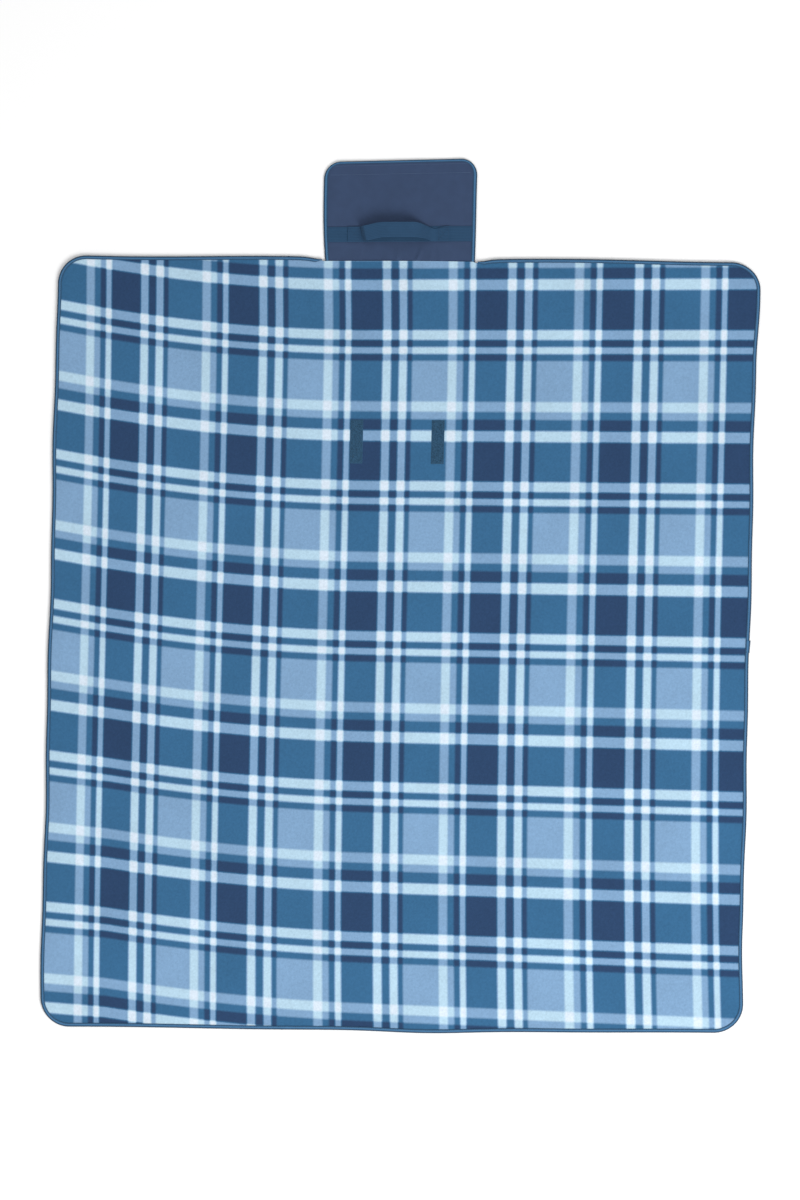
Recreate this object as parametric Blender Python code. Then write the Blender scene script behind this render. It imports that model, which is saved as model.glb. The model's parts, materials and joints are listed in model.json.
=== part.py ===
"""A camp blanket that folds into a bundle: fleece, wadding and a waterproof backing, bound with tape round the edge,
with a flap that carries a webbing handle and closes on two patches. Metres, +Z up. It lies flat with the fleece up
and the flap towards +Y; the origin is on the ground, under the middle of the whole outline."""

import math

import bmesh
import bpy

# Blanket
BLANKET_WIDTH = 1.365
BLANKET_LENGTH = 1.500
CORNER_RADIUS = 0.057
BACKING_THICKNESS = 0.0006
WADDING_THICKNESS = 0.0020
FLEECE_THICKNESS = 0.0019
TAPE_THICKNESS = 0.0006
TAPE_LIP = 0.0075

# Folding: the first panel, at the flap, is the longest, so the folded stack stays clear of the raised flap
PANEL_COUNT = 7
FIRST_PANEL_LENGTH = 0.262
CREASE_CLEARANCE = 0.0045

# Flap
FLAP_WIDTH = 0.296
FLAP_LENGTH = 0.196
FLAP_OFFSET = -0.018
FLAP_CORNER_RADIUS = 0.033
FLAP_SPINE_LENGTH = 0.116
FLAP_CLOTH_THICKNESS = 0.0007
SEAM_SETBACK = 0.0045
NOTCH_CLEARANCE = 0.003
HINGE_RISE = 0.0004

# Closure
HOOK_TAPE_WIDTH = 0.020
HOOK_TAPE_THICKNESS = 0.0012
PATCH_WIDTH = 0.025
PATCH_LENGTH = 0.085
PATCH_THICKNESS = 0.0012
PATCH_DISTANCE = 0.353
PATCH_PLACES = {"left": -0.094, "right": 0.064}

# Handle
WEBBING_WIDTH = 0.0295
WEBBING_THICKNESS = 0.0013
BAND_DISTANCE = 0.0535
TAB_LENGTH = 0.025
HANDLE_SPAN = 0.149
HANDLE_SHIFT = -0.002
HANDLE_HEIGHT = 0.023
HANDLE_RISE_LEFT = 0.022
HANDLE_RISE_RIGHT = 0.046
HANDLE_LEAN = 0.25
HANDLE_PIVOT_HEIGHT = 0.010
STITCH_WIDTH = 0.0010
STITCH_HEIGHT = 0.0005
STITCH_MARGIN = 0.0035

GAP = 0.0003
CREASE_GAP = 0.0006
CORNER_STEPS = 8
STRAP_STEPS = 30
CURL_STEPS = 6

# Heights of the layers, from the ground up
BACKING_Z = TAPE_THICKNESS + GAP
WADDING_Z = BACKING_Z + BACKING_THICKNESS + GAP
FLEECE_Z = WADDING_Z + WADDING_THICKNESS + GAP
FLEECE_TOP = FLEECE_Z + FLEECE_THICKNESS
EDGE_TOP = FLEECE_TOP + GAP + TAPE_THICKNESS

FLAP_BACK_Z = HOOK_TAPE_THICKNESS + GAP
FLAP_FRONT_Z = FLAP_BACK_Z + FLAP_CLOTH_THICKNESS + GAP
FLAP_FRONT_TOP = FLAP_FRONT_Z + FLAP_CLOTH_THICKNESS
FLAP_EDGE_BOTTOM = FLAP_BACK_Z - GAP - TAPE_THICKNESS
FLAP_EDGE_TOP = FLAP_FRONT_TOP + GAP + TAPE_THICKNESS
BAND_Z = FLAP_FRONT_TOP + GAP
BAND_TOP = BAND_Z + WEBBING_THICKNESS
TAB_Z = BAND_TOP + GAP
TAB_TOP = TAB_Z + WEBBING_THICKNESS

# Places along the blanket: the seam is where the flap is sewn in, and the creases follow from it
TOTAL_LENGTH = BLANKET_LENGTH - SEAM_SETBACK + FLAP_LENGTH
BLANKET_END = -TOTAL_LENGTH / 2
BLANKET_TOP = BLANKET_END + BLANKET_LENGTH
SEAM_Y = BLANKET_TOP - SEAM_SETBACK
FLAP_TOP = SEAM_Y + FLAP_LENGTH
FLAP_CREASE_Y = SEAM_Y + FLAP_SPINE_LENGTH
FIRST_CREASE_Y = SEAM_Y - FIRST_PANEL_LENGTH
PANEL_LENGTH = (FIRST_CREASE_Y - BLANKET_END) / (PANEL_COUNT - 1)
CREASES = [FIRST_CREASE_Y - PANEL_LENGTH * step for step in range(PANEL_COUNT - 1)]
LAYER_INSET = TAPE_THICKNESS + GAP
BAND_Y = SEAM_Y + BAND_DISTANCE


def clear_scene():
    for old in list(bpy.data.objects):
        bpy.data.objects.remove(old, do_unlink=True)


def material(name, color, roughness, metallic=0.0):
    made = bpy.data.materials.new(name)
    made.use_nodes = True
    shader = made.node_tree.nodes["Principled BSDF"]
    shader.inputs["Base Color"].default_value = (*color, 1.0)
    shader.inputs["Roughness"].default_value = roughness
    shader.inputs["Metallic"].default_value = metallic
    return made


def add_object(name, bm, finish, pivot=None):
    """Turns bm into an object; pivot is the empty on its joint's axis that the piece turns with."""
    bmesh.ops.recalc_face_normals(bm, faces=bm.faces)
    mesh = bpy.data.meshes.new(name)
    bm.to_mesh(mesh)
    bm.free()
    mesh.materials.append(finish)
    piece = bpy.data.objects.new(name, mesh)
    bpy.context.collection.objects.link(piece)
    if pivot is not None:
        piece.parent = pivot
        piece.matrix_parent_inverse = pivot.matrix_world.inverted()
    return piece


def add_pivot(name, place, parent=None):
    """An empty on a joint's axis, riding on the joint before it."""
    pivot = bpy.data.objects.new(name, None)
    bpy.context.collection.objects.link(pivot)
    pivot.location = place
    bpy.context.view_layer.update()
    if parent is not None:
        pivot.parent = parent
        pivot.matrix_parent_inverse = parent.matrix_world.inverted()
        bpy.context.view_layer.update()
    return pivot


def plate(outline, bottom, thickness):
    """A flat sheet: the outline, in order round it, made thick from bottom upwards."""
    bm = bmesh.new()
    face = bm.faces.new([bm.verts.new((x, y, bottom)) for x, y in outline])
    grown = bmesh.ops.extrude_face_region(bm, geom=[face])["geom"]
    risen = [item for item in grown if isinstance(item, bmesh.types.BMVert)]
    bmesh.ops.translate(bm, verts=risen, vec=(0, 0, thickness))
    return bm


def rectangle(x_low, x_high, y_low, y_high):
    return [(x_low, y_low), (x_high, y_low), (x_high, y_high), (x_low, y_high)]


def arc(center, radius, start, end, steps=CORNER_STEPS):
    """Points round a corner, from start to end in degrees."""
    angles = [math.radians(start + (end - start) * step / steps) for step in range(steps + 1)]
    return [(center[0] + radius * math.cos(a), center[1] + radius * math.sin(a)) for a in angles]


def channel(path, inward, bottom, top, lip):
    """Tape folded over an edge: a U section swept along the path, its open side turned inward."""
    wall = TAPE_THICKNESS
    section = [(0, bottom), (lip, bottom), (lip, bottom + wall), (wall, bottom + wall),
               (wall, top - wall), (lip, top - wall), (lip, top), (0, top)]
    bm = bmesh.new()
    rings = []
    for (x, y), (nx, ny) in zip(path, inward):
        rings.append([bm.verts.new((x + nx * depth, y + ny * depth, z)) for depth, z in section])
    for ring, following in zip(rings, rings[1:]):
        for i in range(len(section)):
            j = (i + 1) % len(section)
            bm.faces.new([ring[i], ring[j], following[j], following[i]])
    for ring in (rings[0], rings[-1]):
        for corners in ((0, 1, 2, 3), (0, 3, 4, 7), (7, 4, 5, 6)):
            bm.faces.new([ring[i] for i in corners])
    return bm


def run_with_corner(start, corner_center, radius, side, end_y_sign, stop_x):
    """Path and inward normals of edge tape: along one side, round a corner, then along the end to stop_x."""
    edge_x = side * BLANKET_WIDTH / 2
    path = [(edge_x, start)]
    inward = [(-side, 0)]
    for step in range(CORNER_STEPS + 1):
        angle = math.pi / 2 * step / CORNER_STEPS
        out = (side * math.cos(angle), end_y_sign * math.sin(angle))
        path.append((corner_center[0] + radius * out[0], corner_center[1] + radius * out[1]))
        inward.append((-out[0], -out[1]))
    path.append((stop_x, corner_center[1] + end_y_sign * radius))
    inward.append((0, -end_y_sign))
    return path, inward


def swept_strap(spine, center_y, width, thickness):
    """Webbing along x: each spine point is (x, height of the underside, sideways lean), the strap thick upwards."""
    bm = bmesh.new()
    rings = []
    for i, (x, z, lean) in enumerate(spine):
        before = spine[max(i - 1, 0)]
        after = spine[min(i + 1, len(spine) - 1)]
        run = after[0] - before[0]
        rise = after[1] - before[1]
        stretch = math.hypot(run, rise) / run
        y = center_y + lean
        ring = [(x, y - width / 2, z), (x, y + width / 2, z),
                (x, y + width / 2, z + thickness * stretch), (x, y - width / 2, z + thickness * stretch)]
        rings.append([bm.verts.new(point) for point in ring])
    for ring, following in zip(rings, rings[1:]):
        for i in range(4):
            j = (i + 1) % 4
            bm.faces.new([ring[i], ring[j], following[j], following[i]])
    bm.faces.new(rings[0])
    bm.faces.new(rings[-1])
    return bm


def smooth(value):
    value = min(max(value, 0.0), 1.0)
    return value * value * (3 - 2 * value)


def panel_limits(index):
    """Low and high y of a panel; panel 0 is the one at the flap."""
    high = CREASES[index - 1] - CREASE_GAP / 2 if index > 0 else BLANKET_TOP - LAYER_INSET
    low = CREASES[index] + CREASE_GAP / 2 if index < PANEL_COUNT - 1 else BLANKET_END + LAYER_INSET
    return low, high


def panel_outline(index):
    """Outline of one panel's layers, inside the edge tape; the end panels have two rounded corners."""
    low, high = panel_limits(index)
    side = BLANKET_WIDTH / 2 - LAYER_INSET
    radius = CORNER_RADIUS - LAYER_INSET
    if index == 0:
        notch = FLAP_WIDTH / 2 + NOTCH_CLEARANCE
        return ([(-side, low), (side, low)]
                + arc((side - radius, high - radius), radius, 0, 90)
                + [(FLAP_OFFSET + notch, high), (FLAP_OFFSET + notch, SEAM_Y),
                   (FLAP_OFFSET - notch, SEAM_Y), (FLAP_OFFSET - notch, high)]
                + arc((radius - side, high - radius), radius, 90, 180))
    if index == PANEL_COUNT - 1:
        return ([(side, high), (-side, high)]
                + arc((radius - side, low + radius), radius, 180, 270)
                + arc((side - radius, low + radius), radius, 270, 360))
    return rectangle(-side, side, low, high)


def panel_tape(index, side):
    """The edge tape on one side of one panel; at the end panels it turns the corner as well."""
    low, high = panel_limits(index)
    corner_x = side * (BLANKET_WIDTH / 2 - CORNER_RADIUS)
    if index == 0:
        stop = FLAP_OFFSET + side * (FLAP_WIDTH / 2 + NOTCH_CLEARANCE)
        path, inward = run_with_corner(low, (corner_x, BLANKET_TOP - CORNER_RADIUS), CORNER_RADIUS, side, 1, stop)
    elif index == PANEL_COUNT - 1:
        stop = side * CREASE_GAP / 2
        path, inward = run_with_corner(high, (corner_x, BLANKET_END + CORNER_RADIUS), CORNER_RADIUS, side, -1, stop)
    else:
        edge_x = side * BLANKET_WIDTH / 2
        path = [(edge_x, low), (edge_x, high)]
        inward = [(-side, 0), (-side, 0)]
    return channel(path, inward, 0, EDGE_TOP, TAPE_LIP)


def handle_height(x):
    """How high the loop's underside stands over the band: it rises steeply on the left and slopes down on the right."""
    left = HANDLE_SHIFT - HANDLE_SPAN / 2
    right = HANDLE_SHIFT + HANDLE_SPAN / 2
    return HANDLE_HEIGHT * smooth((x - left) / HANDLE_RISE_LEFT) * smooth((right - x) / HANDLE_RISE_RIGHT)


def handle_foot(side):
    """Where the loop's underside passes the height of its pivot, found by halving, on the left (-1) or right (1)."""
    outer = HANDLE_SHIFT + side * HANDLE_SPAN / 2
    rise = HANDLE_RISE_LEFT if side < 0 else HANDLE_RISE_RIGHT
    inner = outer - side * rise
    for _ in range(40):
        middle = (outer + inner) / 2
        if handle_height(middle) < HANDLE_PIVOT_HEIGHT:
            outer = middle
        else:
            inner = middle
    return (outer + inner) / 2


def strap_points(x_start, x_end, steps):
    points = []
    for step in range(steps + 1):
        x = x_start + (x_end - x_start) * step / steps
        height = handle_height(x)
        points.append((FLAP_OFFSET + x, TAB_Z + height, HANDLE_LEAN * height))
    return points


def box_cross(center_x, center_y, half_x, half_y, bottom):
    """The boxed cross that fastens webbing: four bars and two diagonals, cut from one flat plate of thread."""
    half = STITCH_WIDTH / 2
    slope = half * math.hypot(half_x, half_y)
    outer = [(-half_x - half, -half_y - half), (half_x + half, -half_y - half),
             (half_x + half, half_y + half), (-half_x - half, half_y + half)]
    inner_x, inner_y = half_x - half, half_y - half
    along_x, along_y = slope / half_y, slope / half_x
    windows = [
        [(-inner_x + along_x, -inner_y), (inner_x - along_x, -inner_y), (0, -along_y)],
        [(inner_x, -inner_y + along_y), (inner_x, inner_y - along_y), (along_x, 0)],
        [(inner_x - along_x, inner_y), (-inner_x + along_x, inner_y), (0, along_y)],
        [(-inner_x, inner_y - along_y), (-inner_x, -inner_y + along_y), (-along_x, 0)],
    ]
    base = plate([(center_x + x, center_y + y) for x, y in outer], bottom, STITCH_HEIGHT)
    cutters = bmesh.new()
    for window in windows:
        piece = plate([(center_x + x, center_y + y) for x, y in window], bottom - STITCH_HEIGHT, 3 * STITCH_HEIGHT)
        bmesh.ops.recalc_face_normals(piece, faces=piece.faces)
        scratch = bpy.data.meshes.new("window")
        piece.to_mesh(scratch)
        piece.free()
        cutters.from_mesh(scratch)
        bpy.data.meshes.remove(scratch)
    return base, cutters


def add_cutter(name, bm):
    """A shape that only cuts: shown as wire and left out of the render."""
    mesh = bpy.data.meshes.new(name)
    bm.to_mesh(mesh)
    bm.free()
    cutter = bpy.data.objects.new(name, mesh)
    bpy.context.collection.objects.link(cutter)
    cutter.hide_render = True
    cutter.display_type = "WIRE"
    return cutter


clear_scene()

fleece_finish = material("printed_fleece", (0.07, 0.15, 0.26), 0.95)
wadding_finish = material("white_wadding", (0.80, 0.80, 0.78), 0.95)
backing_finish = material("waterproof_backing", (0.04, 0.07, 0.12), 0.45)
tape_finish = material("edge_tape", (0.06, 0.13, 0.23), 0.80)
flap_finish = material("woven_flap", (0.04, 0.08, 0.15), 0.75)
webbing_finish = material("webbing", (0.03, 0.07, 0.14), 0.70)
hook_finish = material("hook_tape", (0.02, 0.04, 0.08), 0.60)
loop_finish = material("loop_patch", (0.03, 0.08, 0.15), 0.95)
thread_finish = material("thread", (0.02, 0.04, 0.08), 0.60)

# Panels: each rides on the crease before it, and creases close on the fleece and on the backing in turn
pivot = None
panel_pivots = []
for index in range(PANEL_COUNT):
    if index > 0:
        crease_z = EDGE_TOP + CREASE_CLEARANCE if index % 2 == 1 else -CREASE_CLEARANCE
        pivot = add_pivot(f"crease_{index}", (0, CREASES[index - 1], crease_z), pivot)
    panel_pivots.append(pivot)
    number = index + 1
    outline = panel_outline(index)
    add_object(f"backing_{number}", plate(outline, BACKING_Z, BACKING_THICKNESS), backing_finish, pivot)
    add_object(f"wadding_{number}", plate(outline, WADDING_Z, WADDING_THICKNESS), wadding_finish, pivot)
    add_object(f"fleece_{number}", plate(outline, FLEECE_Z, FLEECE_THICKNESS), fleece_finish, pivot)
    add_object(f"edge_tape_left_{number}", panel_tape(index, -1), tape_finish, pivot)
    add_object(f"edge_tape_right_{number}", panel_tape(index, 1), tape_finish, pivot)

# Loop patches: sewn on the fleece, on whichever panel they fall
patch_y = SEAM_Y - PATCH_DISTANCE
patch_panel = sum(1 for crease in CREASES if crease > patch_y)
for side_name, patch_x in PATCH_PLACES.items():
    outline = rectangle(patch_x - PATCH_WIDTH / 2, patch_x + PATCH_WIDTH / 2,
                        patch_y - PATCH_LENGTH / 2, patch_y + PATCH_LENGTH / 2)
    add_object(f"loop_patch_{side_name}", plate(outline, FLEECE_TOP + GAP, PATCH_THICKNESS),
               loop_finish, panel_pivots[patch_panel])

# Flap: the spine turns at the seam, and the tongue at a crease past the handle
hinge_z = FLAP_EDGE_TOP + HINGE_RISE
spine_pivot = add_pivot("flap_seam", (FLAP_OFFSET, SEAM_Y, hinge_z))
tongue_pivot = add_pivot("flap_crease", (FLAP_OFFSET, FLAP_CREASE_Y, hinge_z), spine_pivot)

flap_half = FLAP_WIDTH / 2 - LAYER_INSET
cloth_radius = FLAP_CORNER_RADIUS - LAYER_INSET
cloth_top = FLAP_TOP - LAYER_INSET
spine_low, spine_high = SEAM_Y + CREASE_GAP, FLAP_CREASE_Y - CREASE_GAP / 2
tongue_low = FLAP_CREASE_Y + CREASE_GAP / 2
spine_outline = rectangle(FLAP_OFFSET - flap_half, FLAP_OFFSET + flap_half, spine_low, spine_high)
tongue_outline = (
    [(FLAP_OFFSET - flap_half, tongue_low), (FLAP_OFFSET + flap_half, tongue_low)]
    + arc((FLAP_OFFSET + flap_half - cloth_radius, cloth_top - cloth_radius), cloth_radius, 0, 90)
    + arc((FLAP_OFFSET - flap_half + cloth_radius, cloth_top - cloth_radius), cloth_radius, 90, 180)
)
for layer, bottom in (("back", FLAP_BACK_Z), ("front", FLAP_FRONT_Z)):
    add_object(f"flap_spine_{layer}", plate(spine_outline, bottom, FLAP_CLOTH_THICKNESS), flap_finish, spine_pivot)
    add_object(f"flap_tongue_{layer}", plate(tongue_outline, bottom, FLAP_CLOTH_THICKNESS), flap_finish, tongue_pivot)

for side_name, side in (("left", -1), ("right", 1)):
    edge_x = FLAP_OFFSET + side * FLAP_WIDTH / 2
    spine_tape = channel([(edge_x, spine_low), (edge_x, spine_high)], [(-side, 0), (-side, 0)],
                         FLAP_EDGE_BOTTOM, FLAP_EDGE_TOP, TAPE_LIP)
    add_object(f"flap_tape_{side_name}", spine_tape, tape_finish, spine_pivot)

corner_x = FLAP_WIDTH / 2 - FLAP_CORNER_RADIUS
corner_y = FLAP_TOP - FLAP_CORNER_RADIUS
tongue_path = [(FLAP_OFFSET + FLAP_WIDTH / 2, tongue_low)]
tongue_inward = [(-1, 0)]
for step in range(2 * CORNER_STEPS + 2):
    turn = step if step <= CORNER_STEPS else step - 1
    angle = math.pi / 2 * turn / CORNER_STEPS
    center_x = FLAP_OFFSET + (corner_x if step <= CORNER_STEPS else -corner_x)
    out = (math.cos(angle), math.sin(angle))
    tongue_path.append((center_x + FLAP_CORNER_RADIUS * out[0], corner_y + FLAP_CORNER_RADIUS * out[1]))
    tongue_inward.append((-out[0], -out[1]))
tongue_path.append((FLAP_OFFSET - FLAP_WIDTH / 2, tongue_low))
tongue_inward.append((1, 0))
add_object("flap_tape_tongue", channel(tongue_path, tongue_inward, FLAP_EDGE_BOTTOM, FLAP_EDGE_TOP, TAPE_LIP),
           tape_finish, tongue_pivot)

hook_half = FLAP_WIDTH / 2 - FLAP_CORNER_RADIUS
hook_high = FLAP_TOP - TAPE_LIP - GAP
add_object("hook_tape", plate(rectangle(FLAP_OFFSET - hook_half, FLAP_OFFSET + hook_half,
                                        hook_high - HOOK_TAPE_WIDTH, hook_high), 0, HOOK_TAPE_THICKNESS),
           hook_finish, tongue_pivot)

# Handle: a band across the flap, and a loop of the same webbing boxed down on it at both ends
band_half = FLAP_WIDTH / 2 - TAPE_LIP - GAP
add_object("webbing_band", plate(rectangle(FLAP_OFFSET - band_half, FLAP_OFFSET + band_half,
                                           BAND_Y - WEBBING_WIDTH / 2, BAND_Y + WEBBING_WIDTH / 2),
                                 BAND_Z, WEBBING_THICKNESS), webbing_finish, spine_pivot)

foot_left, foot_right = handle_foot(-1), handle_foot(1)
for side_name, side, foot in (("left", -1, foot_left), ("right", 1, foot_right)):
    loop_end = HANDLE_SHIFT + side * HANDLE_SPAN / 2
    tab_end = loop_end + side * TAB_LENGTH
    rising = strap_points(loop_end, foot + side * CREASE_GAP / 2, CURL_STEPS)
    spine = [(FLAP_OFFSET + tab_end, TAB_Z, 0.0)] + rising
    if side > 0:
        spine.reverse()
    add_object(f"handle_tab_{side_name}", swept_strap(spine, BAND_Y, WEBBING_WIDTH, WEBBING_THICKNESS),
               webbing_finish, spine_pivot)

    thread_half_x = TAB_LENGTH / 2 - STITCH_MARGIN
    thread_half_y = WEBBING_WIDTH / 2 - STITCH_MARGIN
    thread, windows = box_cross(FLAP_OFFSET + (loop_end + tab_end) / 2, BAND_Y,
                                thread_half_x, thread_half_y, TAB_TOP + GAP)
    thread_piece = add_object(f"handle_stitch_{side_name}", thread, thread_finish, spine_pivot)
    cut = thread_piece.modifiers.new("windows", "BOOLEAN")
    cut.operation = "DIFFERENCE"
    cut.solver = "EXACT"
    cut.object = add_cutter(f"stitch_windows_{side_name}", windows)

handle_pivot = add_pivot("handle_lean", (FLAP_OFFSET, BAND_Y, TAB_Z + HANDLE_PIVOT_HEIGHT), spine_pivot)
loop_points = strap_points(foot_left + CREASE_GAP / 2, foot_right - CREASE_GAP / 2, STRAP_STEPS)
add_object("handle_loop", swept_strap(loop_points, BAND_Y, WEBBING_WIDTH, WEBBING_THICKNESS),
           webbing_finish, handle_pivot)
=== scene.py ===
"""A plaid fleece camp blanket spread on the ground, with the flap and webbing handle that it folds up into."""

import json
import math

import bpy
import numpy as np
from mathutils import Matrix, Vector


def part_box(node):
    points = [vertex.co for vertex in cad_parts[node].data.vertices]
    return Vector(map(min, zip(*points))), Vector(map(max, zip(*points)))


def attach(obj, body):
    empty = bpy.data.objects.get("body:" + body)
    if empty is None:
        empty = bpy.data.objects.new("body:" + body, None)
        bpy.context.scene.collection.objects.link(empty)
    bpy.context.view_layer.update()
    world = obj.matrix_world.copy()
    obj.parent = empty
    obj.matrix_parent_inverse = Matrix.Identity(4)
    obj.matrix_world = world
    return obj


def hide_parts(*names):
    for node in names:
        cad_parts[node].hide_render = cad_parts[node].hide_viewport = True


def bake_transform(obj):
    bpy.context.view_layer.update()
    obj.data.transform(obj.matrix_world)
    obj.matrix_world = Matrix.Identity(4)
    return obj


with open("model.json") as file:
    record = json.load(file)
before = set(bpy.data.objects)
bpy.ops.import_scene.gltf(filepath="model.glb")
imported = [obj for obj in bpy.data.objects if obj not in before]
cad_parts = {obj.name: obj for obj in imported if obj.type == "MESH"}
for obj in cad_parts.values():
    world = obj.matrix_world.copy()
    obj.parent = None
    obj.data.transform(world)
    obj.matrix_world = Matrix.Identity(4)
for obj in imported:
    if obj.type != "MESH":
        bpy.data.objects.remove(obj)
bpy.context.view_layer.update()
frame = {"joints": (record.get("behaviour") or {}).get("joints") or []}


# ---------------------------------------------------------------- quilt
# The body of the blanket is three layers: a printed fleece, a thin white wadding and a coated backing that keeps
# the damp out. They are cut together and caught only at the edge, so the cloth lies in soft swells, a little out
# of square as a hand leaves it. It folds at six creases, and each length of cloth below reaches round one of them.

SIDE_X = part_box("edge_tape_right_4")[1].x
TOP_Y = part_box("edge_tape_left_1")[1].y
BOTTOM_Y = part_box("edge_tape_left_7")[0].y
flap_low, flap_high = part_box("flap_spine_front")
SEAM_Y = flap_low.y
CORNER_RADIUS = 0.057
JOINT_PLACES = {joint["name"]: joint["pos_m"] for joint in frame["joints"]}
CREASES = [place[1] for name, place in JOINT_PLACES.items() if name.startswith("crease_")]
MIDDLES = [(high + low) / 2 for high, low in zip(CREASES, CREASES[1:])]
FOLD_REACH = 0.0125
CELL = 0.005
FOLD_CELL = 0.0016
LAYER_INSET = 0.0025

FLAP_X = (flap_low.x + flap_high.x) / 2
FLAP_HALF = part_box("flap_tape_right")[1].x - FLAP_X
NOTCH_CLEARANCE = 0.003
NOTCH_HALF = FLAP_HALF + NOTCH_CLEARANCE

# How the cut is moved, leant and pulled out of square as it is spread, and how its edge dips beside the flap, sags
# at the far end and is drawn in along the right side
SPREAD_SHIFT, SPREAD_RAISE = 0.0026, 0.0022
SPREAD_LEAN, SPREAD_SKEW = 0.0073, 0.0063
FLAP_DIP, DIP_REACH = 0.0045, 0.024
NOTCH_DROP = 0.0022
END_SAG, SAG_X, SAG_REACH = 0.0062, 0.07, 0.12
DRAWN_IN, DRAWN_FROM, DRAWN_REACH = 0.0034, 0.3, 0.35
SWELL = 0.0022
PRESSED, PRESS_FROM, PRESS_REACH = 0.80, 0.008, 0.024


def smooth(value):
    """0 below 0, 1 above 1, and an even curve between."""
    value = np.clip(value, 0.0, 1.0)
    return value * value * (3 - 2 * value)


def wave(size, rate, place, phase=0.0):
    return size * np.sin(rate * place + phase)


def hump(place, middle, reach):
    """1 at the middle, falling away smoothly on both sides."""
    return np.exp(-((place - middle) / reach) ** 2)


def lay(x, y):
    """Where a point of the flat cut lies once the blanket is spread by hand."""
    middle_y = (TOP_Y + BOTTOM_Y) / 2
    from_flap = np.abs(x - FLAP_X)
    near_top = smooth((y - TOP_Y + 0.05) / 0.05)
    outside = smooth((from_flap - NOTCH_HALF + 0.01) / 0.01)
    side_wander = (wave(0.0011, 13.0, y, 0.8) + wave(0.0007, 31.0, y, 2.0)) * (np.abs(x) / SIDE_X) ** 6
    end_waver = wave(0.0010, 11.0, x, 1.1) * smooth(np.abs(y - middle_y) / 0.75)
    drawn_in = DRAWN_IN * smooth((x - DRAWN_FROM) / DRAWN_REACH) * (1 - smooth((np.abs(y + 0.1) - 0.55) / 0.12))
    sag = END_SAG * hump(x, SAG_X, SAG_REACH) * smooth((BOTTOM_Y + SAG_REACH - y) / SAG_REACH)
    dip = FLAP_DIP * hump(from_flap, NOTCH_HALF, DIP_REACH) * outside + NOTCH_DROP * (1 - outside)
    top_waver = wave(0.0027, 11.0, x, 4.3) * outside
    moved_x = x + SPREAD_SHIFT + SPREAD_LEAN * (y - middle_y) + side_wander - drawn_in
    moved_y = y + SPREAD_RAISE + SPREAD_SKEW * x + end_waver + near_top * (top_waver - dip) - sag
    return moved_x, moved_y


def rise(x, y):
    """How far the ground side of the cloth stands off the ground: broad swells and a few finer ones."""
    broad = np.sin(6.1 * x + 2.3 * y + 1.0) * np.sin(4.7 * y - 1.9 * x + 0.4)
    fine = np.sin(17.0 * x - 6.0 * y + 0.7) * np.sin(12.0 * y + 5.0 * x)
    small = np.sin(38.0 * x + 11.0 * y) * np.sin(31.0 * y - 9.0 * x + 1.7)
    return SWELL * (1.7 + broad + 0.45 * fine + 0.16 * small) / 3.3


def lay_quilt(x, y):
    return (*lay(x, y), rise(x, y))


def laid_points(laid, x, y, height=0.0):
    """Points of a cut where they lie once spread, at a height over its lift; laid gives x, y and lift."""
    laid_x, laid_y, lift = laid(x, y)
    return np.stack([laid_x, laid_y, lift + height], -1)


def half_width(y, inset):
    """Half the blanket's width at y, narrower where the corners are rounded."""
    radius = CORNER_RADIUS - inset
    into = np.maximum(radius - np.minimum(TOP_Y - inset - y, y - BOTTOM_Y - inset), 0.0)
    return SIDE_X - inset - radius + np.sqrt(np.maximum(radius ** 2 - into ** 2, 0.0))


def edge_distance(x, y):
    """How far a point of the cut lies inside the blanket's edge."""
    across = SIDE_X - np.abs(x)
    along = np.minimum(TOP_Y - y, y - BOTTOM_Y)
    corner_x = np.maximum(CORNER_RADIUS - across, 0.0)
    corner_y = np.maximum(CORNER_RADIUS - along, 0.0)
    rounded = CORNER_RADIUS - np.hypot(corner_x, corner_y)
    return np.where((corner_x > 0) & (corner_y > 0), rounded, np.minimum(across, along))


def press(distance):
    """The stitched edge squeezes the layers together, and they fill out again over the next finger's width."""
    return PRESSED + (1 - PRESSED) * smooth((distance - PRESS_FROM) / PRESS_REACH)


def row_places(low, high, crease):
    """Rows of the grid from low to high, closer together where the cloth bends."""
    stops = [low, crease - FOLD_REACH, crease + FOLD_REACH, high]
    rows = []
    for start, end, cell in zip(stops, stops[1:], (CELL, FOLD_CELL, CELL)):
        count = max(int(round((end - start) / cell)), 1)
        rows.append(np.linspace(start, end, count, endpoint=False))
    return np.append(np.concatenate(rows), high)


def placed_object(name, data):
    made = bpy.data.objects.new(name, data)
    bpy.context.collection.objects.link(made)
    return made


def new_object(name, verts, faces, finish, uv, sharp):
    """A mesh object at the origin; uv holds one pair for each vertex, and sharp is the angle of its hard edges."""
    mesh = bpy.data.meshes.new(name)
    mesh.from_pydata(verts.tolist(), [], faces)
    corner = np.empty(len(mesh.loops), np.int32)
    mesh.loops.foreach_get("vertex_index", corner)
    layer = mesh.uv_layers.new(name="cloth")
    layer.data.foreach_set("uv", np.asarray(uv, np.float32)[corner].ravel())
    mesh.materials.append(finish)
    mesh.shade_smooth()
    mesh.set_sharp_from_angle(angle=math.radians(sharp))
    return placed_object(name, mesh)


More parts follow.
